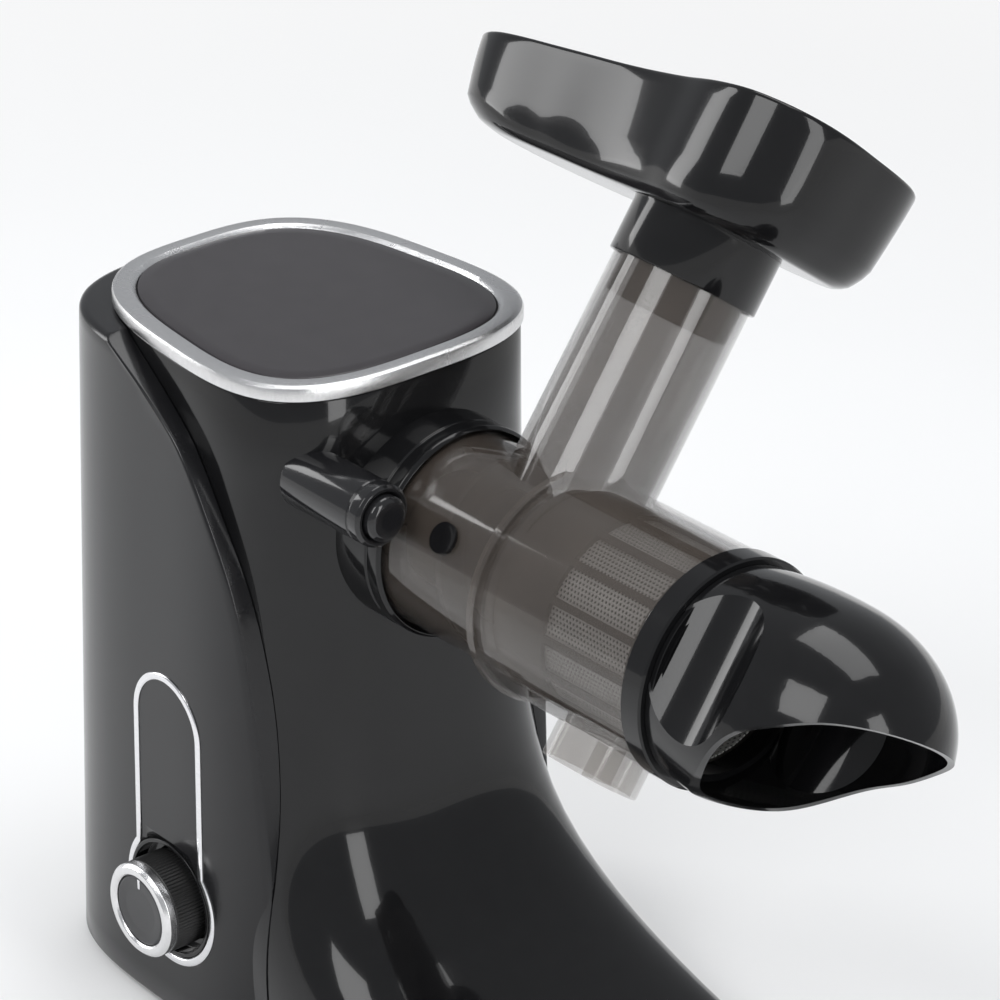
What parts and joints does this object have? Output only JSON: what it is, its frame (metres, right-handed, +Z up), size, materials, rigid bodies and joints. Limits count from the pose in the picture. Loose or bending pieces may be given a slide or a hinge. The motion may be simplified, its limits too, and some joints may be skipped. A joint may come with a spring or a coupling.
{
  "type": "cold press juicer",
  "caption": "Countertop slow juicer: motor tower on a long foot, twist-lock juicing drum with slanted feed chute, food tray and beaked pulp outlet.",
  "frame": {"origin": "on the surface it stands on, under the middle of the motor tower and in the middle of the centre foot's underside", "axes": "+X along the drum's axis towards its nose, +Z up, the knob on the -Y side"},
  "size_m": [0.457, 0.2579, 0.4359],
  "materials": {
    "gloss_black": "piano gloss black moulding",
    "satin_cover": "satin dark grey painted cover",
    "brushed_ring": "brushed silver metal ring",
    "top_panel": "smooth dark grey panel",
    "base_plastic": "black moulded plastic",
    "rubber": "matte rubber",
    "smoky_clear": "transparent smoky brown plastic",
    "clear_spout": "clear plastic with a light smoke",
    "gloss_grey": "gloss dark grey",
    "knob_grip": "fine ribbed black plastic",
    "knob_bezel": "brushed silver ring with a polished edge",
    "knob_face": "satin dark face",
    "trim_metal": "polished silver trim",
    "mesh_steel": "perforated stainless steel",
    "strainer_frame": "dark brown plastic frame",
    "auger_plastic": "hard black food plastic",
    "button_plastic": "gloss dark button",
    "motor_steel": "zinc-plated steel",
    "copper": "copper windings",
    "gear_nylon": "natural nylon",
    "board_green": "green circuit board"
  },
  "bodies": {
    "base": {"front_housing": "gloss_black", "rear_cover": "satin_cover", "base_plate": "base_plastic", "top_ring": "brushed_ring", "top_panel": "top_panel", "port_ring": "gloss_black", "button_boss": "gloss_grey", "spring_stop": "base_plastic", "button_spring": "motor_steel", "knob_dish": "gloss_black", "rotary_switch": "base_plastic", "side_trim": "trim_metal", "cord_gland": "rubber", "gearbox_housing": "base_plastic", "front_bearing": "motor_steel", "counter_axle": "motor_steel", "motor_can": "motor_steel", "motor_stand": "base_plastic", "circuit_board": "board_green", "board_spacers": "base_plastic", "interlock_switch": "base_plastic", "base_screws": "motor_steel", "rubber_foot_1": "rubber", "rubber_foot_2": "rubber", "rubber_foot_3": "rubber", "rubber_foot_4": "rubber", "rubber_foot_5": "rubber"},
    "release_button": {"release_button": "button_plastic"},
    "knob": {"knob_grip": "knob_grip", "knob_bezel": "knob_bezel", "knob_face": "knob_face", "knob_shaft": "motor_steel"},
    "drum": {"drum_shell": "smoky_clear", "juice_spout": "clear_spout", "mark_lobe": "gloss_black", "nose_cap": "gloss_black", "strainer_frame": "strainer_frame", "strainer_mesh": "mesh_steel"},
    "lock_ring": {"lock_ring": "gloss_black"},
    "tray": {"food_tray": "gloss_black"},
    "screw": {"auger": "auger_plastic", "drive_shaft": "motor_steel", "output_gear": "gear_nylon"},
    "counter_gear": {"counter_gear": "gear_nylon"},
    "motor_rotor": {"motor_rotor": "copper", "motor_shaft": "motor_steel", "motor_pinion": "motor_steel", "cooling_fan": "gear_nylon"}
  },
  "joints": [
    {"name": "release_button_press", "type": "slide", "parent": "base", "child": "release_button", "axis": [-1, 0, 0], "range_m": [0, 0.004], "stiffness_N_per_m": 300, "deforming": ["button_spring"]},
    {"name": "speed_knob_turn", "type": "hinge", "parent": "base", "child": "knob", "pos_m": [0.006, -0.085, 0.06], "axis": [0, -1, 0], "range_deg": [-45, 45]},
    {"name": "drum_twist", "type": "hinge", "parent": "base", "child": "drum", "pos_m": [0.0925, 0, 0.2415], "axis": [1, 0, 0], "range_deg": [0, 36]},
    {"name": "lock_ring_turn", "type": "hinge", "parent": "drum", "child": "lock_ring", "pos_m": [0.25, 0, 0.2415], "axis": [1, 0, 0], "range_deg": [0, 30]},
    {"name": "tray_lift", "type": "slide", "parent": "drum", "child": "tray", "axis": [0, 0.5878, 0.809], "range_m": [0, 0.045]},
    {"name": "screw_turn", "type": "hinge", "parent": "base", "child": "screw", "pos_m": [0.1, 0, 0.2415], "axis": [1, 0, 0], "continuous": true},
    {"name": "counter_gear_turn", "type": "hinge", "parent": "base", "child": "counter_gear", "pos_m": [0.04, 0, 0.1944], "axis": [1, 0, 0], "continuous": true},
    {"name": "motor_turn", "type": "hinge", "parent": "base", "child": "motor_rotor", "pos_m": [0, 0, 0.1558], "axis": [1, 0, 0], "continuous": true}
  ],
  "couplings": [
    {"joint": "counter_gear_turn", "follows": "screw_turn", "ratio": -4.2222},
    {"joint": "motor_turn", "follows": "screw_turn", "ratio": 19}
  ]
}
